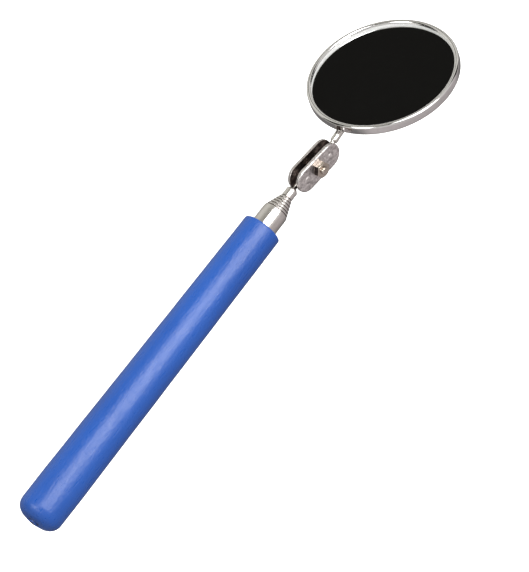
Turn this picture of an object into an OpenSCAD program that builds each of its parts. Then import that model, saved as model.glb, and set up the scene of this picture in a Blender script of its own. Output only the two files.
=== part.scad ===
// Telescoping inspection mirror, collapsed, lying ready on a bench.
// The tool's axis is X, from the closed tail of the grip (-X) to the mirror (+X), and +Z is up.
// The origin is on that axis, at the middle of the straight stretch of the grip's tail.
// Lengths are in millimetres. "Along" always counts from the tail end of the grip.

/* [Grip] */
// Diameter of the grip's straight tail stretch
grip_d = 17.4; // [16:0.1:19]
// Diameter of the grip at its mouth
grip_mouth_d = 15.1; // [13.5:0.1:16]
// Length of the grip from tail to mouth
grip_len = 136.5; // [135:0.1:138]
// Length of the rounded tail
grip_dome_len = 6; // [5:0.1:8]
// Length of the straight stretch after the rounded tail
grip_seat_len = 12; // [8:0.5:20]

/* [Tubes] */
// Outside diameter of the outer tube
outer_tube_d = 9.8; // [9.6:0.05:10.2]
// How much smaller in radius each tube is than the one around it
tube_step = 0.45; // [0.43:0.01:0.47]
// Wall thickness of the tubes
tube_wall = 0.25; // [0.22:0.01:0.27]
// Travel of each sliding tube
stage_travel = 114.3; // [110:0.1:114.3]
// Where the outer tube's nose ends, along the tool
first_nose = 144.8; // [144:0.1:145]
// How far each nose stands out of the one before it
nose_step = 1.2; // [1.2:0.1:1.5]
// Where the last tube ends, along the tool
last_tube_end = 154.6; // [154:0.1:155]

/* [Double ball joint] */
// Diameter of the two steel balls
ball_d = 4.76; // [4.5:0.01:5]
// Where the lower ball sits, along the tool
lower_ball_at = 160.8; // [160.5:0.1:161.5]
// Distance between the two balls
ball_spacing = 12.5; // [12:0.1:14]
// Thickness of each clamp plate
plate_t = 1.5; // [1.2:0.1:1.6]
// Gap between the two clamp plates
plate_gap = 3; // [3:0.05:3.2]
// Radius of the clamp plates' round ends
plate_end_r = 4.9; // [4.5:0.05:5]
// Diameter of the clamp screw
screw_d = 2.9; // [2.5:0.1:3]
// Width of the nut across its flats
nut_af = 5.5; // [5:0.1:6]

/* [Mirror] */
// Diameter over the mirror's rim
mirror_d = 57.15; // [50:0.05:60]
// Depth of the mirror housing
housing_depth = 4; // [3.9:0.1:4.2]
// Width of the rolled rim, seen from the front
rim_w = 1.8; // [1.7:0.01:2]
// Thickness of the glass
glass_t = 1.9; // [1.7:0.1:2]
// Diameter of the mirror's stem
stem_d = 2.9; // [2.5:0.05:2.9]

/* [Rest pose] */
// Angle of the two plates' long axis above the tool's axis, in degrees
link_pitch = -8; // [-12:1:12]
// Slope of the mirror's face, far edge down, in degrees
mirror_pitch = 12; // [10:0.1:14]
// Place of the centre of the rim's top, along the tool
mirror_at = 210.1; // [209:0.1:212]
// Height of the centre of the rim's top over the tool's axis
mirror_z = 0.98; // [0:0.01:2]

/* [Hidden] */

$fn = 96;
VINYL_BLUE = "royalblue";
STEEL = "silver";
BRASS = "goldenrod";

eps = 0.01;             // keeps two touching faces of one body apart
over = 1;               // how far a cut runs past the face it starts from
running = 0.04;         // radial clearance of a sliding or turning fit
grip_seat_mid = grip_dome_len + grip_seat_len / 2;
grip_floor = 5;         // thickness of vinyl behind the outer tube
grip_mouth_round = 0.6; // rounding of the grip's front edge
nib_r = 1.25;           // the small ring in the middle of the tail
nib_h = 0.25;
nib_root = 0.2;         // how far it reaches into the rounded tail
nib_hollow_r = 0.6;
nib_hollow_depth = 0.65;

outer_tube_tail = grip_floor + eps;
tails = 20;             // where all the sliding tubes end, collapsed
plug_face = tails - 0.1;
plug_wall = 0.8;
plug_end_t = 1;
plug_len = 13.5;
nose_len = 1.6;         // the swaged part of a nose, inside
nose_land = 1.1;        // its straight bore, which guides the next tube
nose_lip = 0.16;        // the metal left at its very end
sleeve_len = 7;
sleeve_gap = 0.05;      // left at each end of a friction sleeve
bead_len = 0.6;         // the rolled beads that hold a friction sleeve on its tube
bead_h = 0.11;
stop_gap = 0.05;        // left between bead and nose when a stage is fully out
tube_7_chamfer = 0.3;

ball_r = ball_d / 2;
ball_clear = 0.03;      // between a ball and what it turns in
neck_r = 0.85;
pin_depth = 8;          // how far the neck's pin reaches into the last tube
pin_cap_h = 0.3;        // the bevel on the pin where it leaves the tube
pin_cap_step = 0.15;
neck_root = 0.8;        // length of the cone from there to the neck
plate_bevel = 0.4;
dimple_r = 3.35;        // radius of the bulge over each ball
screw_clear = 0.05;
screw_head_r = 2.6;
screw_head_h = 1.3;
screw_head_bevel = 0.5;
screw_slot_w = 0.7;
screw_slot_depth = 0.6;
screw_tip = 1;          // length of screw beyond the nut
screw_tip_bevel = 0.4;
nut_h = 2.2;
nut_chamfer = 0.35;
stem_neck_r = 1;        // the stem is thinner where it enters between the plates
stem_shoulder = 5.4;    // where it reaches its full diameter, from the upper ball
stem_shoulder_len = 0.6;
tongue_w = 5.6;         // the stem's flattened end, welded on the housing's back
tongue_t = 1.3;
tongue_len = 16;
tongue_from = 1;        // where it starts, from the stem's bend
tongue_cover = 0.2;     // how far the rod lies below the tongue's welded face
stem_bend_u = -21;      // where the stem bends, from the mirror's centre towards the stem
stem_bend_swell = 0.05; // the bend is this much thicker in radius than the rod
rod_on_back = 4;        // length of round rod after the bend
rod_taper = 4;          // length over which it is flattened

sheet_t = 0.5;          // sheet metal of the mirror housing
housing_turn = 0.9;     // turn of the drawn cup about the mirror's own axis, in degrees
housing_corner = 1;     // outside radius between its back and its side
pad_clear = 0.1;
glass_clear = 0.15;
glass_arris = 0.2;

mirror_r = mirror_d / 2;
rim_r = rim_w / 2;
pad_t = housing_depth - sheet_t - rim_r - glass_t - 3 * eps;
lower_ball_c = [lower_ball_at, 0, 0];
upper_ball_c = lower_ball_c + ball_spacing * [cos(link_pitch), 0, sin(link_pitch)];
stem_axis_depth = housing_depth + eps + tongue_cover + stem_d / 2;
stem_bend_c = mirror_point(stem_bend_u, -stem_axis_depth);
stem_run = stem_bend_c - upper_ball_c;
stem_pitch = atan2(stem_run[2], stem_run[0]);

// Radius of tube k, where tube 1 is the outer tube
function tube_r(k) = outer_tube_d / 2 - tube_step * (k - 1);
// Where the nose of tube k ends, along the tool
function nose_end(k) = k == 7 ? last_tube_end : first_nose + nose_step * (k - 1);
// Where the front bead of tube k ends, collapsed: its stop, one travel short of the nose around it
function bead_front(k) = nose_end(k - 1) - nose_len - stage_travel - stop_gap;
// A point in the mirror's own plane of symmetry: u away from the stem, w out of the glass
function mirror_point(u, w) = [
    mirror_at + u * cos(mirror_pitch) + w * sin(mirror_pitch),
    0,
    mirror_z - u * sin(mirror_pitch) + w * cos(mirror_pitch)];

// Moves children from places along the tool to the origin on the grip's tail stretch
module in_frame() {
    translate([-grip_seat_mid, 0, 0])
        children();
}

// Turns a profile, drawn as [radius, place along the tool], about the tool's axis
module turned() {
    in_frame()
        rotate([0, 90, 0])
            rotate_extrude()
                children();
}

// Children drawn with +X along the two plates, from the lower ball
module on_link() {
    in_frame()
        translate(lower_ball_c)
            rotate([0, -link_pitch, 0])
                children();
}

// Children drawn with +X along the stem, from the upper ball
module on_stem() {
    in_frame()
        translate(upper_ball_c)
            rotate([0, -stem_pitch, 0])
                children();
}

// Children drawn with +Z out of the glass, from the centre of the rim's top
module on_mirror() {
    in_frame()
        translate(mirror_point(0, 0))
            rotate([0, mirror_pitch, 0])
                children();
}

// The rounded tail: a superellipse, flatter at its end than a sphere
function dome_points(r, len, squareness = 2.6, steps = 14) = [
    for (i = [1:steps])
        [r * pow(sin(90 * i / steps), 2 / squareness),
            len * (1 - pow(cos(90 * i / steps), 2 / squareness))]];

module grip() {
    mouth_r = grip_mouth_d / 2;
    bore_r = outer_tube_d / 2 + eps;
    color(VINYL_BLUE)
        turned()
            difference() {
                union() {
                    polygon(concat(
                        [[0, 0]],
                        dome_points(grip_d / 2, grip_dome_len),
                        [[grip_d / 2, grip_dome_len + grip_seat_len],
                            [mouth_r, grip_len - grip_mouth_round],
                            [mouth_r - grip_mouth_round, grip_len],
                            [0, grip_len]]));
                    translate([mouth_r - grip_mouth_round, grip_len - grip_mouth_round])
                        circle(grip_mouth_round);
                    translate([0, -nib_h])
                        square([nib_r, nib_h + nib_root]);
                }
                translate([-over, grip_floor])
                    square([bore_r + over, grip_len]);
                translate([-over, -nib_h - over])
                    square([nib_hollow_r + over, nib_hollow_depth + over]);
            }
}

// Outline of a thin tube with a swaged nose, and beads for a friction sleeve if it slides
module tube_profile(k) {
    r = tube_r(k);
    bore = r - tube_wall;
    end = nose_end(k);
    guide = tube_r(k + 1) + running;
    tail = k == 1 ? outer_tube_tail : tails;
    polygon([
        [bore, tail],
        [r, tail],
        [r, end - nose_step],
        [guide + nose_lip, end],
        [guide, end],
        [guide, end - nose_land],
        [bore, end - nose_len]]);
    if (k > 1)
        beads(k);
}

// The two rolled beads on each side of a friction sleeve
module beads(k) {
    r = tube_r(k);
    for (front = [bead_front(k), bead_front(k) - bead_len - sleeve_len])
        translate([r - tube_wall / 2, front - bead_len])
            square([bead_h + tube_wall / 2, bead_len]);
}

module outer_tube() {
    color(STEEL)
        turned()
            tube_profile(1);
}

// A cup that closes the outer tube's tail; the collapsed tubes come to rest on its face
module tail_plug() {
    r = tube_r(1) - tube_wall - eps;
    color(STEEL)
        turned()
            difference() {
                translate([0, plug_face - plug_len])
                    square([r, plug_len]);
                translate([-over, plug_face - plug_len - over])
                    square([r - plug_wall + over, plug_len - plug_end_t + over]);
            }
}

module sliding_tube(k) {
    color(STEEL)
        turned()
            tube_profile(k);
}

// The last tube has a plain open end, which holds the neck's pin
module tube_7() {
    r = tube_r(7);
    bore = r - tube_wall;
    color(STEEL)
        turned() {
            polygon([
                [bore, tails],
                [r, tails],
                [r, last_tube_end - tube_7_chamfer],
                [r - tube_7_chamfer / 2, last_tube_end],
                [bore, last_tube_end]]);
            beads(7);
        }
}

// A sprung brass sleeve between two beads, which rubs in the tube around it
module friction_sleeve(k, inner_gap) {
    r = tube_r(k) + inner_gap;
    outer = tube_r(k - 1) - tube_wall - running;
    color(BRASS)
        turned()
            translate([r, bead_front(k) - bead_len - sleeve_len + sleeve_gap])
                square([outer - r, sleeve_len - 2 * sleeve_gap]);
}

// The pin in the last tube, its thin neck, and the cupped end that the ball is brazed to
module neck_pin() {
    pin_r = tube_r(7) - tube_wall - eps;
    color(STEEL)
        difference() {
            turned()
                polygon([
                    [0, last_tube_end - pin_depth],
                    [pin_r, last_tube_end - pin_depth],
                    [pin_r, last_tube_end],
                    [pin_r - pin_cap_step, last_tube_end + pin_cap_h],
                    [neck_r, last_tube_end + pin_cap_h + neck_root],
                    [neck_r, lower_ball_at],
                    [0, lower_ball_at]]);
            in_frame()
                translate(lower_ball_c)
                    sphere(ball_r + ball_clear);
        }
}

module lower_ball() {
    color(STEEL)
        in_frame()
            translate(lower_ball_c)
                sphere(ball_r);
}

module upper_ball() {
    color(STEEL)
        in_frame()
            translate(upper_ball_c)
                sphere(ball_r);
}

// One clamp plate, lying from z = 0 (inner face) to z = plate_t, bevelled on its outer face
module clamp_plate() {
    flat_t = plate_t - plate_bevel;
    top_r = plate_end_r - plate_bevel;
    difference() {
        union() {
            for (x = [0, ball_spacing])
                translate([x, 0, 0]) {
                    cylinder(h = flat_t, r = plate_end_r);
                    translate([0, 0, flat_t])
                        cylinder(h = plate_bevel, r1 = plate_end_r, r2 = top_r);
                    intersection() {
                        translate([0, 0, -plate_gap / 2])
                            sphere(dimple_r);
                        cylinder(h = plate_t * 2, r = top_r);
                    }
                }
            rotate([90, 0, 90])
                linear_extrude(ball_spacing)
                    polygon([
                        [-plate_end_r, 0],
                        [plate_end_r, 0],
                        [plate_end_r, flat_t],
                        [top_r, plate_t],
                        [-top_r, plate_t],
                        [-plate_end_r, flat_t]]);
        }
        for (x = [0, ball_spacing])
            translate([x, 0, -plate_gap / 2])
                sphere(ball_r + ball_clear);
        translate([ball_spacing / 2, 0, -over])
            cylinder(h = plate_t + 2 * over, r = screw_d / 2 + screw_clear);
    }
}

module plate_front() {
    color(STEEL)
        on_link()
            translate([0, -plate_gap / 2, 0])
                rotate([90, 0, 0])
                    clamp_plate();
}

module plate_back() {
    color(STEEL)
        on_link()
            mirror([0, 1, 0])
                translate([0, -plate_gap / 2, 0])
                    rotate([90, 0, 0])
                        clamp_plate();
}

// Slotted round head on the back plate, shank through both plates and the nut
module clamp_screw() {
    face = plate_gap / 2 + plate_t + eps;
    shank_r = screw_d / 2;
    shank_len = 2 * face + nut_h + screw_tip - screw_tip_bevel;
    color(BRASS)
        on_link()
            translate([ball_spacing / 2, 0, 0])
                rotate([90, 0, 0])
                    difference() {
                        union() {
                            translate([0, 0, -face - screw_head_h])
                                screw_head();
                            translate([0, 0, -face])
                                cylinder(h = shank_len, r = shank_r);
                            translate([0, 0, -face + shank_len])
                                cylinder(h = screw_tip_bevel, r1 = shank_r, r2 = shank_r - screw_tip_bevel);
                        }
                        translate([-screw_head_r - over, -screw_slot_w / 2, -face - screw_head_h - over])
                            cube([2 * (screw_head_r + over), screw_slot_w, screw_slot_depth + over]);
                    }
}

module screw_head() {
    cylinder(h = screw_head_bevel, r1 = screw_head_r - screw_head_bevel, r2 = screw_head_r);
    translate([0, 0, screw_head_bevel])
        cylinder(h = screw_head_h - screw_head_bevel, r = screw_head_r);
}

module clamp_nut() {
    corner_r = nut_af / sqrt(3);
    face = plate_gap / 2 + plate_t + 2 * eps;
    color(BRASS)
        on_link()
            translate([ball_spacing / 2, -face, 0])
                rotate([90, 0, 0])
                    difference() {
                        intersection() {
                            cylinder(h = nut_h, r = corner_r, $fn = 6);
                            union() {
                                cylinder(h = nut_h - nut_chamfer, r = corner_r + over);
                                translate([0, 0, nut_h - nut_chamfer])
                                    cylinder(h = nut_chamfer, r1 = corner_r, r2 = corner_r - 2 * nut_chamfer);
                            }
                        }
                        translate([0, 0, -over])
                            cylinder(h = nut_h + 2 * over, r = screw_d / 2 + eps);
                    }
}

// Round rod from the upper ball, bent onto the housing's back and flattened there
module mirror_stem() {
    color(STEEL) {
        difference() {
            on_stem()
                rotate([0, 90, 0])
                    stem_rod();
            in_frame()
                translate(upper_ball_c)
                    sphere(ball_r + ball_clear);
        }
        on_mirror()
            translate([stem_bend_u, 0, -stem_axis_depth])
                rotate([0, 90, 0]) {
                    sphere(stem_d / 2 + stem_bend_swell);
                    cylinder(h = rod_on_back, r = stem_d / 2);
                    translate([0, 0, rod_on_back])
                        cylinder(h = rod_taper, r1 = stem_d / 2, r2 = tongue_t / 2);
                }
        on_mirror()
            translate([stem_bend_u + tongue_from, 0, -housing_depth - eps - tongue_t])
                tongue();
    }
}

// The straight rod, thin between the plates, along +Z from the upper ball
module stem_rod() {
    full_from = stem_shoulder + stem_shoulder_len;
    cylinder(h = stem_shoulder, r = stem_neck_r);
    translate([0, 0, stem_shoulder])
        cylinder(h = stem_shoulder_len, r1 = stem_neck_r, r2 = stem_d / 2);
    translate([0, 0, full_from])
        cylinder(h = norm(stem_run) - full_from, r = stem_d / 2);
}

// The flattened end of the stem: a tongue with round ends
module tongue() {
    for (x = [tongue_w / 2, tongue_len - tongue_w / 2])
        translate([x, 0, 0])
            cylinder(h = tongue_t, d = tongue_w);
    translate([tongue_w / 2, -tongue_w / 2, 0])
        cube([tongue_len - tongue_w, tongue_w, tongue_t]);
}

// A drawn cup whose edge is rolled over the glass
module mirror_housing() {
    rim_c = mirror_r - rim_r;
    color(STEEL)
        on_mirror()
            rotate([0, 0, housing_turn])
                rotate_extrude() {
                    difference() {
                        translate([rim_c, -rim_r])
                            circle(rim_r);
                        translate([rim_c, -rim_r])
                            circle(rim_r - sheet_t);
                        translate([rim_c - 2 * rim_r, -3 * rim_r])
                            square([4 * rim_r, 2 * rim_r]);
                    }
                    difference() {
                        union() {
                            translate([0, -housing_depth])
                                square([mirror_r - housing_corner, housing_depth - rim_r]);
                            translate([0, -housing_depth + housing_corner])
                                square([mirror_r, housing_depth - rim_r - housing_corner]);
                            translate([mirror_r - housing_corner, -housing_depth + housing_corner])
                                circle(housing_corner);
                        }
                        translate([-over, -housing_depth + sheet_t])
                            square([mirror_r - housing_corner + over, housing_depth]);
                        translate([-over, -housing_depth + housing_corner])
                            square([mirror_r - sheet_t + over, housing_depth]);
                        translate([mirror_r - housing_corner, -housing_depth + housing_corner])
                            circle(housing_corner - sheet_t);
                    }
                }
}

module mirror_glass() {
    r = mirror_r - sheet_t - glass_clear;
    top = -rim_r - eps;
    color("dimgray")
        on_mirror()
            rotate_extrude()
                polygon([
                    [0, top - glass_t],
                    [r - glass_arris, top - glass_t],
                    [r, top - glass_t + glass_arris],
                    [r, top - glass_arris],
                    [r - glass_arris, top],
                    [0, top]]);
}

module backing_pad() {
    color("dimgray")
        on_mirror()
            translate([0, 0, -housing_depth + sheet_t + eps])
                cylinder(h = pad_t, r = mirror_r - housing_corner - pad_clear);
}

grip();
outer_tube();
tail_plug();
sliding_tube(2);  // tube_2
sliding_tube(3);  // tube_3
sliding_tube(4);  // tube_4
sliding_tube(5);  // tube_5
sliding_tube(6);  // tube_6
tube_7();
friction_sleeve(2, eps);  // friction_sleeve_2
friction_sleeve(3, eps);  // friction_sleeve_3
friction_sleeve(4, eps);  // friction_sleeve_4
friction_sleeve(5, eps);  // friction_sleeve_5
friction_sleeve(6, eps);  // friction_sleeve_6
friction_sleeve(7, running);  // friction_sleeve_7
neck_pin();
lower_ball();
plate_front();
plate_back();
clamp_screw();
clamp_nut();
upper_ball();
mirror_stem();
mirror_housing();
mirror_glass();
backing_pad();
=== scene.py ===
import math

import bmesh
import bpy
from mathutils import Matrix, Vector


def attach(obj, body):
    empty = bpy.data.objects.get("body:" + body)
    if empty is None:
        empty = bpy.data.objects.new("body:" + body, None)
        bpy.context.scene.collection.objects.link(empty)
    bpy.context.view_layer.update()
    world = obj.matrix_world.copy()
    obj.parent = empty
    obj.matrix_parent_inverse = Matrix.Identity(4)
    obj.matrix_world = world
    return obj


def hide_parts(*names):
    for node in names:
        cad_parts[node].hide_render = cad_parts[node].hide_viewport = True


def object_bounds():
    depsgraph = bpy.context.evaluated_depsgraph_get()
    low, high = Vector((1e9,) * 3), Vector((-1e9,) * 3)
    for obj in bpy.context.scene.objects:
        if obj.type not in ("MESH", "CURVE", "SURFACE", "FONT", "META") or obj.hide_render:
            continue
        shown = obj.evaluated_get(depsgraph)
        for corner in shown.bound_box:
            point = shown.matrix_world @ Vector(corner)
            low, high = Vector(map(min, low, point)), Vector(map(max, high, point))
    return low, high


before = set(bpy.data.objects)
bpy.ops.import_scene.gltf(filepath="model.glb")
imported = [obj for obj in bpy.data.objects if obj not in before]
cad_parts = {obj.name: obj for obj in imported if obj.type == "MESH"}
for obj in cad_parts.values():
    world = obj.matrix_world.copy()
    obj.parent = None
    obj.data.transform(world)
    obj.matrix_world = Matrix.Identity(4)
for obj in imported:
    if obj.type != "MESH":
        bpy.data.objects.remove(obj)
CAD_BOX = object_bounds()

# Shapes are written in millimetres along the tool's axis X, and scaled to metres as they are placed.
MM = 0.001
TO_METRES = Matrix.Scale(MM, 4)
SEAT = 12.0            # the frame's origin, from the tail of the grip

TUBE_R = [4.9 - 0.45 * k for k in range(7)]
TUBE_WALL = 0.25
FIRST_NOSE = 144.8 - SEAT
NOSE_STEP = 1.2        # how far each nose stands out of the one around it
NOSE_LENGTH = 1.6      # the narrow part of a nose, which guides the tube inside it
LAST_END = 154.6 - SEAT
TAILS = 20.0 - SEAT    # the tails of the collapsed sliding tubes
PLUG_FRONT = 5.01 - SEAT
RUNNING = 0.04         # clearance between a nose and the tube in it
STROKE = 114.3
STOP_GAP = 0.05
SLEEVE_LENGTH = 7
BEAD_WIDTH, BEAD_HEIGHT = 0.6, 0.11
GROOVE_WIDTH = 0.3

LINK_PITCH = math.radians(-8)
SPACING = 12.5
LOWER_BALL = Vector((160.8 - SEAT, 0, 0))
UPPER_BALL = LOWER_BALL + SPACING * Vector((math.cos(LINK_PITCH), 0, math.sin(LINK_PITCH)))
PLATE_R, PLATE_T, PLATE_GAP = 4.9, 1.5, 3.0

MIRROR_PITCH = math.radians(12)
MIRROR_C = Vector((210.1 - SEAT, 0, 0.98))
MIRROR_R, HOUSING_DEPTH, RIM_R, SHEET = 28.575, 4.0, 0.9, 0.5
GLASS_T, SILVER_DEPTH = 1.9, 0.9
GLASS_PLAY = 0.15      # between the glass's edge and the housing's wall
STEM_R = 1.45
BEND_U, STEM_DEPTH = -21.0, 5.66       # the bend's place along the mirror, and how deep the rod lies


# ---------------------------------------------------------------- shapes

def skin(rings, closed=False):
    """Vertices and faces of a surface through rings of points. A ring of one point is a pole."""
    verts, starts = [], []
    for ring in rings:
        starts.append(len(verts))
        verts.extend(ring)
    pairs = list(zip(range(len(rings) - 1), range(1, len(rings))))
    if closed:
        pairs.append((len(rings) - 1, 0))
    faces = []
    for a, b in pairs:
        na, nb = len(rings[a]), len(rings[b])
        for i in range(max(na, nb)):
            j = i + 1
            corners = [starts[a] + i % na, starts[a] + j % na, starts[b] + j % nb, starts[b] + i % nb]
            corners = list(dict.fromkeys(corners))
            if len(corners) > 2:
                faces.append(corners)
    return verts, faces


def piece(name, shape, place, material, body, nodes, sharp=40):
    """A mesh from skin(), placed in the frame, that rides on a body and stands for CAD nodes."""
    verts, faces = shape
    mesh = bpy.data.meshes.new(name)
    mesh.from_pydata([TO_METRES @ (place @ Vector(v)) for v in verts], [], faces)
    work = bmesh.new()
    work.from_mesh(mesh)
    bmesh.ops.remove_doubles(work, verts=work.verts, dist=1e-7)
    bmesh.ops.recalc_face_normals(work, faces=work.faces)
    work.to_mesh(mesh)
    work.free()
    mesh.shade_smooth()
    mesh.set_sharp_from_angle(angle=math.radians(sharp))
    mesh.materials.append(material)
    obj = bpy.data.objects.new(name, mesh)
    bpy.context.collection.objects.link(obj)
    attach(obj, body)
    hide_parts(*nodes)
    return obj


def filleted(corners, steps=6, closed=False):
    """The points of a polyline whose corners (x, y, radius) are rounded."""
    out = []
    for i, (x, y, radius) in enumerate(corners):
        here = Vector((x, y))
        if radius <= 0 or (not closed and i in (0, len(corners) - 1)):
            out.append(here)
            continue
        back = Vector(corners[i - 1][:2]) - here
        ahead = Vector(corners[(i + 1) % len(corners)][:2]) - here
        half = back.angle(ahead) / 2
        cut = min(radius / math.tan(half), 0.49 * back.length, 0.49 * ahead.length)
        back.normalize()
        ahead.normalize()
        centre = here + (back + ahead).normalized() * (cut / math.cos(half))
        first, last = here + back * cut - centre, here + ahead * cut - centre
        start = math.atan2(first.y, first.x)
        sweep = (math.atan2(last.y, last.x) - start + math.pi) % (2 * math.pi) - math.pi
        for k in range(steps + 1):
            a = start + sweep * k / steps
            out.append(centre + first.length * Vector((math.cos(a), math.sin(a))))
    return out


def stepped(points, step):
    """The same line with points at most step apart."""
    out = [points[0]]
    for a, b in zip(points, points[1:]):
        n = max(1, math.ceil((b - a).length / step))
        out.extend(a.lerp(b, k / n) for k in range(1, n + 1))
    return out


def lathe(profile, segments=128, radius=lambda x, r, a: r):
    """Rings of a profile of (place along X, radius) turned about X."""
    rings = []
    for x, r in profile:
        if r < 1e-4:
            rings.append([(x, 0, 0)])
            continue
        ring = []
        for k in range(segments):
            a = 2 * math.pi * k / segments
            q = radius(x, r, a)
            ring.append((x, q * math.cos(a), q * math.sin(a)))
        rings.append(ring)
    return rings


def smooth_max(a, b, blend):
    h = max(blend - abs(a - b), 0) / blend
    return max(a, b) + h * h * blend / 4


# ---------------------------------------------------------------- materials

class Nodes:
    """A material's node tree, with short calls for the nodes used here."""

    def __init__(self, name):
        self.material = bpy.data.materials.new(name)
        self.material.use_nodes = True
        self.tree = self.material.node_tree
        self.shader = self.tree.nodes["Principled BSDF"]
        self.coords = self.add("ShaderNodeTexCoord").outputs["Object"]

    def add(self, kind, **settings):
        node = self.tree.nodes.new(kind)
        for key, value in settings.items():
            setattr(node, key, value)
        return node

    def link(self, a, b):
        self.tree.links.new(a, b)

    def set(self, **values):
        for key, value in values.items():
            self.shader.inputs[key.replace("_", " ")].default_value = value

    def noise(self, per_metre, detail=4, stretch=(1, 1, 1), tilt=0.0, rough=0.55, warp=0.0):
        """Noise in the object's own place, with its cells stretched by a scale along each axis."""
        place = self.add("ShaderNodeMapping")
        place.inputs["Rotation"].default_value = (0, tilt, 0)
        place.inputs["Scale"].default_value = stretch
        self.link(self.coords, place.inputs["Vector"])
        noise = self.add("ShaderNodeTexNoise")
        noise.inputs["Scale"].default_value = per_metre
        noise.inputs["Detail"].default_value = detail
        noise.inputs["Roughness"].default_value = rough
        noise.inputs["Distortion"].default_value = warp
        self.link(place.outputs["Vector"], noise.inputs["Vector"])
        return noise.outputs["Fac"]

    def spread(self, value, low, high, start=0.3, end=0.7):
        """value, from start to end, spread over low to high."""
        node = self.add("ShaderNodeMapRange")
        for key, number in (("From Min", start), ("From Max", end), ("To Min", low), ("To Max", high)):
            node.inputs[key].default_value = number
        self.link(value, node.inputs["Value"])
        return node.outputs["Result"]

    def paint(self, value, *stops):
        """The base colour, a ramp of (place, colour) stops along value."""
        ramp = self.add("ShaderNodeValToRGB")
        for element, (at, colour) in zip(ramp.color_ramp.elements, stops):
            element.position, element.color = at, (*colour, 1)
        self.link(value, ramp.inputs["Fac"])
        self.link(ramp.outputs["Color"], self.shader.inputs["Base Color"])

    def dull(self, value, *limits):
        """The roughness, value spread between limits."""
        self.link(self.spread(value, *limits), self.shader.inputs["Roughness"])

    def bump(self, *layers):
        """Bumps on top of each other, each (height, depth in metres, strength)."""
        normal = None
        for height, depth, strength in layers:
            node = self.add("ShaderNodeBump")
            node.inputs["Distance"].default_value = depth
            node.inputs["Strength"].default_value = strength
            self.link(height, node.inputs["Height"])
            if normal:
                self.link(normal, node.inputs["Normal"])
            normal = node.outputs["Normal"]
        self.link(normal, self.shader.inputs["Normal"])


def vinyl(name, shade):
    """Dipped vinyl, streaked along the grip. shade scales its colour; below 1 it makes a copy painted as
    shade.
    """
    m = Nodes(name)
    streaks = m.noise(1100, detail=4, stretch=(0.16, 1, 1), rough=0.7)
    peel = m.noise(650, detail=4, rough=0.6)
    flow = m.noise(60, detail=2, stretch=(0.3, 1, 1))
    low, high = [[shade * c for c in colour] for colour in ((0.003, 0.056, 0.290), (0.006, 0.072, 0.345))]
    m.paint(flow, (0.3, low), (0.7, high))
    m.dull(streaks, 0.22, 0.46)
    m.set(IOR=1.52, Coat_Weight=0.12, Coat_Roughness=0.30, Coat_IOR=1.5)
    m.bump((flow, 0.0004, 0.3), (streaks, 0.00023, 0.75), (peel, 0.00020, 0.8))
    return m.material


def steel(name, dark, light, rough, stretch=(1, 1, 1), tilt=0.0, grain=2500, depth=0.00001, wear=0.0,
          patch=220):
    """Bare or plated steel: fine grain along its drawing direction, duller patches, and small dents."""
    m = Nodes(name)
    lines = m.noise(grain, detail=4, stretch=stretch, tilt=tilt, rough=0.65)
    patches = m.noise(patch, detail=4, warp=0.4)
    m.paint(patches, (0.32, dark), (0.68, light))
    m.dull(lines, *rough)
    m.set(Metallic=1.0)
    layers = [(lines, depth, 0.35)]
    if wear:
        layers.append((m.noise(650, detail=2, rough=0.4), wear, 0.5))
    m.bump(*layers)
    return m.material


def silvered_glass():
    m = Nodes("silvered_glass")
    haze = m.noise(120, detail=4, warp=0.6)
    m.paint(haze, (0.3, (0.86, 0.87, 0.87)), (0.7, (0.90, 0.91, 0.91)))
    m.dull(haze, 0.004, 0.02, 0.45, 0.75)
    m.set(Metallic=1.0, Coat_Weight=0.3, Coat_Roughness=0.0, Coat_IOR=1.5)
    return m.material


def ground_edge():
    m = Nodes("ground_glass_edge")
    grain = m.noise(2500, detail=4)
    m.paint(grain, (0.3, (0.46, 0.46, 0.455)), (0.7, (0.60, 0.60, 0.595)))
    m.dull(grain, 0.3, 0.45)
    m.set(IOR=1.52)
    m.bump((grain, 0.00002, 0.4))
    return m.material


def card():
    m = Nodes("pressed_card")
    fibres = m.noise(1500, detail=5)
    m.paint(fibres, (0.3, (0.30, 0.25, 0.19)), (0.7, (0.48, 0.42, 0.34)))
    m.dull(fibres, 0.75, 0.95)
    m.bump((fibres, 0.00008, 0.5))
    return m.material


VINYL = vinyl("dipped_vinyl", 1.0)
# Painted shade: the vinyl at 0.12 of its colour, for the hollows of the tail's nib.
VINYL_PAINTED_SHADE = vinyl("vinyl_painted_shade", 0.12)
TUBE = steel("drawn_tube", (0.60, 0.575, 0.55), (0.68, 0.655, 0.635), (0.13, 0.22), stretch=(0.04, 1, 1))
BRASS = steel("sprung_brass", (0.62, 0.43, 0.17), (0.76, 0.56, 0.25), (0.22, 0.36), stretch=(0.3, 1, 1))
BALL = steel("ground_ball", (0.66, 0.64, 0.62), (0.74, 0.72, 0.70), (0.16, 0.28))
PLATE = steel("tumbled_plate", (0.40, 0.375, 0.37), (0.84, 0.80, 0.79), (0.28, 0.46), grain=1800,
              depth=0.00008, wear=0.00040, patch=900)
# Painted shade: near-black steel laid where shade falls, inside the joint's gap between the plates and in the
# crease behind each nose, and on one nut flat as a painted dark reflection.
STEEL_PAINTED_SHADE = steel("steel_painted_shade", (0.022, 0.017, 0.015), (0.13, 0.10, 0.09), (0.30, 0.50), grain=1500,
                depth=0.00003)
FASTENER = steel("plated_fastener", (0.46, 0.40, 0.34), (0.66, 0.59, 0.53), (0.16, 0.28), grain=2000,
                 depth=0.00001, wear=0.00003)
STEM = steel("bright_rod", (0.64, 0.62, 0.585), (0.72, 0.70, 0.67), (0.12, 0.22), stretch=(0.05, 1, 1))
RIM = steel("polished_rim", (0.68, 0.67, 0.665), (0.75, 0.74, 0.735), (0.07, 0.13), tilt=MIRROR_PITCH,
            stretch=(1, 1, 0.2), wear=0.00003)
GLASS = silvered_glass()
GROUND = ground_edge()
CARD = card()


# ---------------------------------------------------------------- grip and tubes

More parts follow.
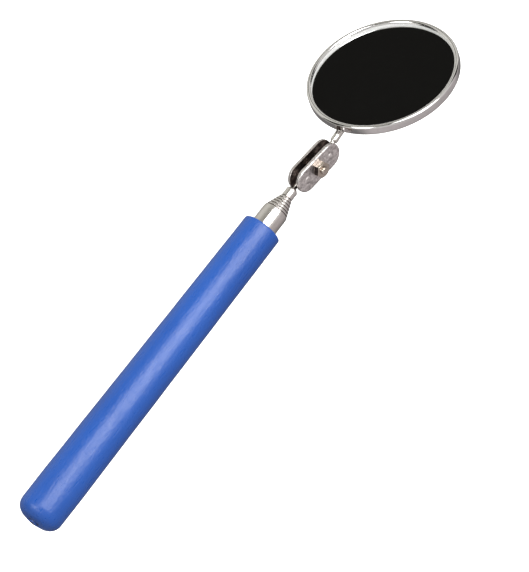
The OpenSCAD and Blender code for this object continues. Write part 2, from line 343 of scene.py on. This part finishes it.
def make_grip():
    """Vinyl sleeve: closed tail with a small hollow ring, a long taper, and a soft front edge."""
    radius, mouth, bore, long_end = 8.7, 7.55, 4.915, 136.5 - SEAT
    dome, first_step, inner_end = 6, 15, -6.9
    tail = [(-10.6, 0, 0), (-10.6, 0.75, 0.2), (-12.25, 0.9, 0.16), (-12.25, 1.5, 0.2),
            (-11.5, 1.65, 0.2), (-11.55, 2.3, 0.5), (-11.84, 3.1, 0.3)]
    profile = filleted(tail, 5)
    squareness, steps = 2.6, 40
    for i in range(first_step, steps + 1):
        a = math.pi / 2 * i / steps
        depth = dome * (1 - math.cos(a) ** (2 / squareness))
        profile.append(Vector((-SEAT + depth, radius * math.sin(a) ** (2 / squareness))))
    front = [(-6, radius, 0), (6, radius, 60), (long_end, mouth, 0.6), (long_end, bore, 0.25),
             (inner_end, bore, 0), (inner_end, 0, 0)]
    profile += stepped(filleted(front, 10)[1:], 0.9)

    def waved(x, r, a):
        if r <= bore + 0.3 or x < -11:
            return r
        wave = math.sin(0.19 * x + 3 * a) + math.sin(0.31 * x - 2 * a + 1) + math.sin(0.07 * x + 5 * a + 2)
        return r - 0.03 + 0.01 * wave

    obj = piece("grip_sleeve", skin(lathe(profile, 160, waved)), Matrix(), VINYL, "handle", ["grip"],
                50)
    # Painted shade: the nib's centre hole and the moat round the nib get the darkened vinyl.
    obj.data.materials.append(VINYL_PAINTED_SHADE)
    for polygon in obj.data.polygons:
        x, y, z = polygon.center / MM
        r = math.hypot(y, z)
        if x < -10.3 and (r < 0.95 or 1.5 < r < 2.1 and x > -11.8):
            polygon.material_index = 1


def bead(x, r):
    """A low bead rolled into a tube just behind x."""
    top = r + BEAD_HEIGHT
    return [(x - BEAD_WIDTH, r, 0), (x - 0.56, top, 0.08), (x - 0.04, top, 0.08), (x, r, 0)]


def beads(k, r):
    """The beads on both sides of tube k's friction sleeve, which stops at the nose around it."""
    front = FIRST_NOSE + NOSE_STEP * (k - 2) - NOSE_LENGTH - STROKE - STOP_GAP
    return bead(front - BEAD_WIDTH - SLEEVE_LENGTH, r) + bead(front, r)


def oil_groove(x, r, depth, lead):
    """A shallow groove just ahead of x."""
    return [(x, r, 0), (x + 0.02, r - depth, 0.02), (x + 0.28, r - depth, 0.04), (x + 0.34, r, lead)]


def tube_corners(k):
    """Tube k with its rolled nose, and beads on both sides of its friction sleeve if it slides."""
    r = TUBE_R[k - 1]
    bore = r - TUBE_WALL
    end = FIRST_NOSE + NOSE_STEP * (k - 1)
    guide = (TUBE_R[k] if k < 7 else bore) + RUNNING
    tail = TAILS if k > 1 else PLUG_FRONT
    corners = [(tail, r, 0.05)]
    if k > 1:
        corners += beads(k, r)
        corners += oil_groove(end - NOSE_STEP, r, 0.12, 0.2)
    else:
        corners.append((end - NOSE_STEP - 0.5, r, 1.6))
    corners += [
        (end - 0.30, guide + 0.30, 0.35),
        (end, guide + 0.13, 0.08),
        (end - 0.25, guide, 0.04),
        (end - 1.1, guide, 0),
        (end - NOSE_LENGTH, bore, 0),
        (tail, bore, 0.05)]
    return corners


def crease_painted_shade(obj, front, r):
    """Painted shade: a dark line in the crease where a collapsed tube leaves the nose around it."""
    obj.data.materials.append(STEEL_PAINTED_SHADE)
    for polygon in obj.data.polygons:
        x, y, z = polygon.center / MM
        if front < x < front + GROOVE_WIDTH and math.hypot(y, z) > r - 0.2:
            polygon.material_index = 1


def make_tubes():
    for k in range(1, 7):
        name = "outer_tube" if k == 1 else f"tube_{k}"
        body = "handle" if k == 1 else f"section_{k}"
        profile = filleted(tube_corners(k), 5, closed=True)
        obj = piece(f"{name}_drawn", skin(lathe(profile, 128), closed=True), Matrix(), TUBE, body, [name],
                    50)
        if k > 1:
            # Painted shade in the crease where this tube leaves the nose around it.
            crease_painted_shade(obj, FIRST_NOSE + NOSE_STEP * (k - 2), TUBE_R[k - 1])
    r = TUBE_R[6]
    front = LAST_END
    groove = FIRST_NOSE + NOSE_STEP * 5
    bore = r - TUBE_WALL
    corners = [(TAILS, r, 0.05), *beads(7, r), *oil_groove(groove, r, 0.1, 0.1)]
    corners += [(front - 0.3, r, 0.3), (front, r - 0.15, 0.05), (front, bore, 0), (TAILS, bore, 0.05)]
    profile = filleted(corners, 5, closed=True)
    obj = piece("tube_7_drawn", skin(lathe(profile, 96), closed=True), Matrix(), TUBE, "section_7",
                ["tube_7"], 50)
    crease_painted_shade(obj, groove, r)


def make_neck():
    """The pin's bevelled end, its soft cone, and the thin neck up to the ball's cup."""
    pin, neck, root, cup_edge, cup_floor = 1.94, 0.85, 134.6, 146.62, 146.38
    corners = [(root, 0, 0), (root, pin, 0.1), (142.6, pin, 0.06), (142.9, pin - 0.15, 0.25),
               (143.75, neck, 1.2), (cup_edge, neck, 0.05), (cup_floor, 0, 0)]
    piece("neck_pin_turned", skin(lathe(filleted(corners, 8), 96)), Matrix(), TUBE, "section_7",
          ["neck_pin"], 50)


# ---------------------------------------------------------------- double ball joint

def link_place():
    """X along the link from the lower ball, Y out of the front plate's face, Z across the plates."""
    along = Vector((math.cos(LINK_PITCH), 0, math.sin(LINK_PITCH)))
    out = Vector((0, -1, 0))
    across = along.cross(out)
    return Matrix.Translation(LOWER_BALL) @ Matrix((along, out, across)).transposed().to_4x4()


def make_plate(name, node, side):
    """A pressed plate: stadium outline, rounded edges, a dimple over each ball and a seat inside it."""
    edge, inner_edge, ball_seat, dimple = 0.65, 0.2, 2.41, 3.35

    def heights(x, z):
        """Height of the outer face and of the inner face over the inner plane."""
        r2 = min(x * x, (x - SPACING) ** 2) + z * z
        bulge = math.sqrt(max(dimple ** 2 - r2, 0)) - PLATE_GAP / 2
        cup = math.sqrt(max(ball_seat ** 2 - r2, 0)) - PLATE_GAP / 2
        moat = 0.10 * math.exp(-((math.sqrt(r2) - 1.62) / 0.20) ** 2)
        return smooth_max(PLATE_T, bulge, 0.05) - moat, max(cup, 0)

    def ring(offset, height):
        """Points round the stadium at a distance from the line between the balls."""
        flat = []
        for k in range(40):
            a = math.pi * (k / 40 - 0.5)
            flat.append((SPACING + offset * math.cos(a), offset * math.sin(a)))
        flat += [(SPACING * (1 - k / 44), offset) for k in range(44)]
        for k in range(40):
            a = math.pi * (k / 40 + 0.5)
            flat.append((offset * math.cos(a), offset * math.sin(a)))
        flat += [(SPACING * k / 44, -offset) for k in range(44)]
        return [(x, side * (PLATE_GAP / 2 + height(x, z)), z) for x, z in flat]

    rings = []
    faces = 40
    for k in range(faces + 1):
        rings.append(ring((PLATE_R - inner_edge) * k / faces, lambda x, z: heights(x, z)[1]))
    for k in range(1, 5):
        a = math.pi / 2 * k / 4
        h = inner_edge * (1 - math.cos(a))
        rings.append(ring(PLATE_R - inner_edge * (1 - math.sin(a)), lambda x, z, h=h: h))
    for k in range(9):
        a = math.pi / 2 * k / 8
        h = PLATE_T - edge * (1 - math.sin(a))
        rings.append(ring(PLATE_R - edge * (1 - math.cos(a)), lambda x, z, h=h: h))
    for k in range(faces - 1, -1, -1):
        rings.append(ring((PLATE_R - edge) * k / faces, lambda x, z: heights(x, z)[0]))
    obj = piece(name, skin(rings), link_place(), PLATE, "link", [node], 50)
    # Painted shade: the inner faces in the gap between the plates get the near-black steel.
    obj.data.materials.append(STEEL_PAINTED_SHADE)
    back = (TO_METRES @ link_place()).inverted()
    for polygon in obj.data.polygons:
        if abs((back @ polygon.center).y) < PLATE_GAP / 2 + 0.15:
            polygon.material_index = 1


def make_screw():
    """Slotted round head on the back plate, threaded shank, and a rounded end beyond the nut."""
    face, head_r, shank, pitch = 3.01, 2.6, 1.45, 0.5
    tip = face + 2.2 + 1.01
    corners = [(-face - 1.3, 0, 0), (-face - 1.3, 1.7, 1.0), (-face - 0.75, head_r, 0.35),
               (-face, head_r, 0.1), (-face, shank, 0.05), (tip - 0.05, shank, 0.45), (tip, 0, 0)]
    profile = stepped(filleted(corners, 7), 0.07)

    def threaded(x, r, a):
        if x < -face + 0.02 or r < shank - 0.02 or r > shank + 0.02:
            return r
        phase = (x / pitch - a / (2 * math.pi)) % 1
        return r - 0.26 * pitch * (1 - abs(2 * phase - 1))

    place = link_place() @ Matrix.Translation((SPACING / 2, 0, 0)) @ Matrix.Rotation(math.radians(90), 4, "Z")
    obj = piece("clamp_screw_threaded", skin(lathe(profile, 72, threaded)), place, FASTENER, "link",
                ["clamp_screw"], 35)
    cut_slot(obj, place, face)


def cut_slot(obj, place, face):
    """Presses the screwdriver slot into the head by moving its points down."""
    half, floor = 0.35, -face - 0.7
    back = (TO_METRES @ place).inverted()
    ahead = TO_METRES @ place
    for v in obj.data.vertices:
        p = back @ v.co
        if p.x < floor and abs(p.z) < half + 0.12:
            depth = min(1, max(0, (half + 0.12 - abs(p.z)) / 0.12))
            p.x += (floor - p.x) * depth
            v.co = ahead @ p


def make_nut():
    """Hexagon with its corners turned off to a cone."""
    flats, height, bore = 5.5 / 2, 2.2, 1.38
    segments = 144

    def hexagon(a):
        return flats / math.cos((a + math.pi / 6) % (math.pi / 3) - math.pi / 6)

    def top(r):
        return height - max(0, r - flats * 0.96) * 0.62

    def ring(scale, level):
        points = []
        for k in range(segments):
            a = 2 * math.pi * k / segments
            r = bore + (hexagon(a) - bore) * scale
            points.append((level(r), r * math.cos(a), r * math.sin(a)))
        return points

    rings = [ring(s, lambda r, h=h: h) for s, h in ((0, 0.0), (0.9, 0.0), (0.985, 0.02), (1, 0.1))]
    rings += [ring(1, lambda r, s=s: 0.1 + (top(r) - 0.2) * s) for s in (0.5, 1.0)]
    rings += [ring(0.98, lambda r: top(r) - 0.02)]
    rings += [ring(s, top) for s in (0.95, 0.85, 0.75, 0.6, 0.4, 0.25, 0.12)]
    rings += [ring(0, lambda r: height - 0.2)]
    place = link_place() @ Matrix.Translation((SPACING / 2, PLATE_GAP / 2 + PLATE_T + 0.02, 0))
    place = place @ Matrix.Rotation(math.radians(90), 4, "Z") @ Matrix.Rotation(math.radians(90), 4, "X")
    obj = piece("clamp_nut_hex", skin(rings, closed=True), place, FASTENER, "link", ["clamp_nut"],
                28)
    # Painted reflection: the one flat facing back toward the grip and upward gets the near-black steel,
    # standing in for the dark it reflects.
    obj.data.materials.append(STEEL_PAINTED_SHADE)
    a = math.radians(150) + LINK_PITCH
    dark_reflection_facing = Vector((math.cos(a), 0, math.sin(a)))
    for polygon in obj.data.polygons:
        if polygon.normal.dot(dark_reflection_facing) > 0.97:
            polygon.material_index = 1


# ---------------------------------------------------------------- mirror

def mirror_place():
    """X out of the glass, Y away from the stem in the mirror's plane, Z across."""
    out = Vector((math.sin(MIRROR_PITCH), 0, math.cos(MIRROR_PITCH)))
    away = Vector((math.cos(MIRROR_PITCH), 0, -math.sin(MIRROR_PITCH)))
    return Matrix.Translation(MIRROR_C) @ Matrix((out, away, out.cross(away))).transposed().to_4x4()


def make_housing():
    """Drawn cup with a flat back rounded into its wall, and its edge rolled over the glass."""
    rim_c = MIRROR_R - RIM_R
    rolled = []
    for k in range(25):
        a = math.pi * k / 24
        rolled.append(Vector((-RIM_R + RIM_R * math.sin(a), rim_c + RIM_R * math.cos(a))))
    inside = []
    for k in range(17):
        a = math.pi * (1 - k / 16)
        r = RIM_R - SHEET
        inside.append(Vector((-RIM_R + r * math.sin(a), rim_c + r * math.cos(a))))
    back = [(-HOUSING_DEPTH, 0, 0), (-HOUSING_DEPTH, MIRROR_R, 1.0), (-RIM_R, MIRROR_R, 0)]
    wall, bottom = MIRROR_R - SHEET, -HOUSING_DEPTH + SHEET
    floor = [(-RIM_R, wall, 0), (bottom, wall, 0.5), (bottom, 0, 0)]
    profile = stepped(filleted(back, 10), 2.5)[:-1] + rolled + inside + filleted(floor, 6)[1:]
    piece("mirror_housing_drawn", skin(lathe(profile, 256)), mirror_place(), RIM, "mirror_head",
          ["mirror_housing"], 50)


def make_glass():
    """Disc with a ground edge. Its silver is seen below the edge, as deep as it looks through the glass."""
    r, top, window = MIRROR_R - SHEET - GLASS_PLAY, -RIM_R - 0.01, MIRROR_R - 2 * RIM_R + 0.02
    corners = [(top - GLASS_T, 0, 0), (top - GLASS_T, r, 0.2), (top, r, 0.2), (top, window, 0.03),
               (top - SILVER_DEPTH, window, 0.03), (top - SILVER_DEPTH, 0, 0)]
    obj = piece("mirror_glass_disc", skin(lathe(stepped(filleted(corners, 4), 4), 192)), mirror_place(),
                GLASS, "mirror_head", ["mirror_glass"], 50)
    obj.data.materials.append(GROUND)
    back = (TO_METRES @ mirror_place()).inverted()
    for polygon in obj.data.polygons:
        if (back @ polygon.center).yz.length > window - 0.1:
            polygon.material_index = 1


def make_stem():
    """Rod from the upper ball, bent under the rim, and hammered flat where it is welded to the back."""
    away = Vector((math.cos(MIRROR_PITCH), 0, -math.sin(MIRROR_PITCH)))
    out = Vector((math.sin(MIRROR_PITCH), 0, math.cos(MIRROR_PITCH)))
    bend = MIRROR_C + away * BEND_U - out * STEM_DEPTH
    run = bend - UPPER_BALL
    first = run.normalized()
    turn = first.angle(away)
    radius = 12.0
    lead = radius * math.tan(turn / 2)

    stations = []          # (point, direction, half width, half thickness, squareness)
    length = run.length - lead
    places = [2.2, 2.6, 3.2, 4.0, 4.8, 5.3, 5.5, 5.7, 5.9, 6.1, 6.5]
    for d in places + [6.5 + (length - 6.5) * k / 6 for k in range(1, 7)]:
        grow = min(1, max(0, (d - 5.3) / 0.8))
        r = 1.0 + (STEM_R - 1.0) * grow * grow * (3 - 2 * grow)
        stations.append((UPPER_BALL + first * d, first, r, r, 2.0))
    normal = Vector((0, 1, 0)).cross(first)
    centre = UPPER_BALL + first * length + (normal if normal.dot(away) > 0 else -normal) * radius
    for k in range(1, 9):
        turned = Matrix.Rotation(turn * k / 8, 3, first.cross(away))
        arm = UPPER_BALL + first * length - centre
        stations.append((centre + turned @ arm, turned @ first, STEM_R, STEM_R, 2.0))
    start = BEND_U + lead
    end = BEND_U + 17.0
    tongue_w, tongue_t = 2.8, 0.65
    count = 70
    for k in range(1, count + 1):
        u = start + (end - start) * (1 - (1 - k / count) ** 1.3)
        flat = min(1, max(0, (u - BEND_U - 3.0) / 5.0))
        flat = flat * flat * (3 - 2 * flat)
        half_w = STEM_R + (tongue_w - STEM_R) * flat
        beyond = u - (end - tongue_w)
        if beyond > 0:
            half_w = math.sqrt(max(tongue_w ** 2 - beyond ** 2, 1e-6))
        half_t = STEM_R + (tongue_t - STEM_R) * flat
        depth = STEM_DEPTH + (HOUSING_DEPTH + 0.01 + tongue_t - STEM_DEPTH) * flat
        stations.append((MIRROR_C + away * u - out * depth, away, half_w, half_t, 2.0 + 3.0 * flat))

    rings = [[stations[0][0]]]
    spots = [MIRROR_C + away * (BEND_U + s) for s in (9.8, 13.6)]
    for point, direction, half_w, half_t, square in stations:
        side = Vector((0, 1, 0))
        up = direction.cross(side)
        ring = []
        for k in range(72):
            a = 2 * math.pi * k / 72
            c, s = math.cos(a), math.sin(a)
            y = half_w * math.copysign(abs(c) ** (2 / square), c)
            n = half_t * math.copysign(abs(s) ** (2 / square), s)
            p = point + side * y + up * n
            if (p - point).dot(out) < 0 and square > 4.9:
                near = min((Vector((p.x, p.y, 0)) - Vector((q.x, q.y, 0))).length for q in spots)
                p += out * 0.16 * max(0, 1 - (near / 1.15) ** 2)
            ring.append(p)
        rings.append(ring)
    rings.append([MIRROR_C + away * end - out * (HOUSING_DEPTH + 0.01 + tongue_t)])
    piece("mirror_stem_forged", skin(rings), Matrix(), STEM, "mirror_head", ["mirror_stem"], 50)


# ---------------------------------------------------------------- pieces that stay as CAD made them

def dress(node, material):
    """Gives a CAD node its material."""
    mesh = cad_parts[node].data
    for i in range(len(mesh.materials)):
        mesh.materials[i] = material


make_grip()
make_tubes()
make_neck()
make_plate("plate_front_pressed", "plate_front", 1)
make_plate("plate_back_pressed", "plate_back", -1)
make_screw()
make_nut()
make_housing()
make_glass()
make_stem()
for node in ("lower_ball", "upper_ball"):
    dress(node, BALL)
for k in range(2, 8):
    dress(f"friction_sleeve_{k}", BRASS)
dress("tail_plug", TUBE)
dress("backing_pad", CARD)


# ---------------------------------------------------------------- floor, light, camera

def stage_plane(name, corners, material):
    mesh = bpy.data.meshes.new(name)
    mesh.from_pydata(corners, [], [(0, 1, 2, 3)])
    mesh.materials.append(material)
    obj = bpy.data.objects.new(name, mesh)
    bpy.context.collection.objects.link(obj)
    return obj


def facing(target, direction, distance):
    """A place at a distance from target, turned so that local -Z looks at it."""
    direction = Vector(direction).normalized()
    turn = direction.to_track_quat("Z", "Y").to_matrix().to_4x4()
    return Matrix.Translation(target + direction * distance) @ turn


def softbox(name, target, direction, distance, width, height, radiance):
    light = bpy.data.lights.new(name, "AREA")
    light.shape = "RECTANGLE"
    light.size, light.size_y = width, height
    light.energy = radiance * math.pi * width * height
    obj = bpy.data.objects.new(name, light)
    bpy.context.collection.objects.link(obj)
    obj.matrix_world = facing(target, direction, distance)


def make_floor():
    """Pale table, lit from inside so that it stays pale under the tool. Metal sees the room instead of it.
    It lies far enough below the tool for the head to swing down without going through it."""
    m = Nodes("table")
    grain = m.noise(40, detail=3)
    m.paint(grain, (0.3, (0.86, 0.86, 0.86)), (0.7, (0.90, 0.90, 0.90)))
    m.dull(grain, 0.85, 0.95)
    m.set(Specular_IOR_Level=0.1)
    m.shader.inputs["Emission Color"].default_value = (1, 1, 1, 1)
    m.set(Emission_Strength=0.7)
    half, head_room = 8.0, 0.1
    z = CAD_BOX[0].z - head_room
    corners = [(-half, -half, z), (half, -half, z), (half, half, z), (-half, half, z)]
    obj = stage_plane("table", corners, m.material)
    obj.visible_glossy = obj.visible_diffuse = False


def dark_card(name, target, direction, distance, width, height):
    """A dark card that is seen only in reflections."""
    m = Nodes(name)
    m.shader.inputs["Base Color"].default_value = (0.012, 0.012, 0.011, 1)
    m.set(Roughness=1.0, Specular_IOR_Level=0.0)
    w, h = width / 2, height / 2
    obj = stage_plane(name, [(-w, -h, 0), (w, -h, 0), (w, h, 0), (-w, h, 0)], m.material)
    obj.matrix_world = facing(target, direction, distance)
    obj.visible_camera = obj.visible_diffuse = obj.visible_shadow = False


def toward(azimuth, elevation):
    a, e = math.radians(azimuth), math.radians(elevation)
    return Vector((math.cos(a) * math.cos(e), math.sin(a) * math.cos(e), math.sin(e)))


def make_world():
    """A grey room: light at eye height, darker overhead and below, darkest below on the far side."""
    world = bpy.data.worlds.new("studio")
    bpy.context.scene.world = world
    world.use_nodes = True
    tree = world.node_tree
    back = tree.nodes["Background"]
    where = tree.nodes.new("ShaderNodeTexCoord").outputs["Generated"]
    split = tree.nodes.new("ShaderNodeSeparateXYZ")
    tree.links.new(where, split.inputs[0])

    def ramp(value, *stops):
        spread = tree.nodes.new("ShaderNodeMapRange")
        spread.inputs["From Min"].default_value = -1
        tree.links.new(value, spread.inputs["Value"])
        node = tree.nodes.new("ShaderNodeValToRGB")
        while len(node.color_ramp.elements) < len(stops):
            node.color_ramp.elements.new(0.5)
        for element, (at, colour) in zip(node.color_ramp.elements, stops):
            element.position, element.color = (at + 1) / 2, (*colour, 1)
        tree.links.new(spread.outputs["Result"], node.inputs["Fac"])
        return node.outputs["Color"]

    near = ramp(split.outputs["Z"], (-1.0, (0.30, 0.28, 0.28)), (-0.78, (0.52, 0.48, 0.48)),
                (-0.5, (0.64, 0.59, 0.59)), (-0.1, (0.68, 0.63, 0.63)), (0.14, (0.92, 0.90, 0.88)),
                (0.74, (0.72, 0.71, 0.68)), (1.0, (0.40, 0.39, 0.36)))
    far = ramp(split.outputs["Z"], (-1.0, (0.26, 0.25, 0.25)), (-0.5, (0.22, 0.21, 0.21)),
               (-0.1, (0.66, 0.64, 0.60)), (0.42, (0.93, 0.92, 0.86)), (0.74, (0.85, 0.84, 0.78)),
               (0.92, (0.55, 0.54, 0.49)), (1.0, (0.38, 0.37, 0.34)))
    mix = tree.nodes.new("ShaderNodeMix")
    mix.data_type = "RGBA"
    factor, first, second = mix.inputs[0], mix.inputs[6], mix.inputs[7]
    tree.links.new(ramp(split.outputs["Y"], (-0.15, (0, 0, 0)), (0.15, (1, 1, 1))), factor)
    tree.links.new(near, first)
    tree.links.new(far, second)
    tree.links.new(mix.outputs[2], back.inputs["Color"])
    back.inputs["Strength"].default_value = 0.9


def make_camera():
    """From above the grip's side, rolled so that the tool rises to the right of the view."""
    right, ahead = Vector((0.59435, -0.70412, -0.38854)), Vector((0.25193, 0.62183, -0.74152))
    position, lens = Vector((-0.38892, -1.23693, 1.45444)), 346.15
    up = right.cross(ahead).normalized()
    data = bpy.data.cameras.new("camera")
    data.sensor_fit, data.sensor_width = "AUTO", 36
    data.lens = lens
    data.clip_start, data.clip_end = 0.05, 50
    obj = bpy.data.objects.new("camera", data)
    bpy.context.collection.objects.link(obj)
    place = Matrix((right, up, -ahead.normalized())).transposed().to_4x4()
    place.translation = position
    obj.matrix_world = place
    bpy.context.scene.camera = obj


make_floor()
make_world()
make_camera()
TARGET = Vector((0.10, 0, 0))
softbox("key", TARGET, (0.25, -0.62, 0.74), 1.2, 0.74, 1.2, 6.0)
softbox("side", TARGET, toward(180, 55), 1.2, 0.50, 0.42, 8.0)
dark_card("mirror_card", MIRROR_C * MM, (0.532, 0.622, 0.575), 0.5, 0.13, 0.13)
dark_card("key_flag", MIRROR_C * MM, toward(-110, 55), 1.6, 0.56, 1.6)
dark_card("back_flag", MIRROR_C * MM, toward(140, 32), 1.4, 0.70, 1.5)
dark_card("front_flag", MIRROR_C * MM, toward(-13, 10), 1.4, 0.55, 1.3)
bpy.context.scene.view_settings.view_transform = "Standard"
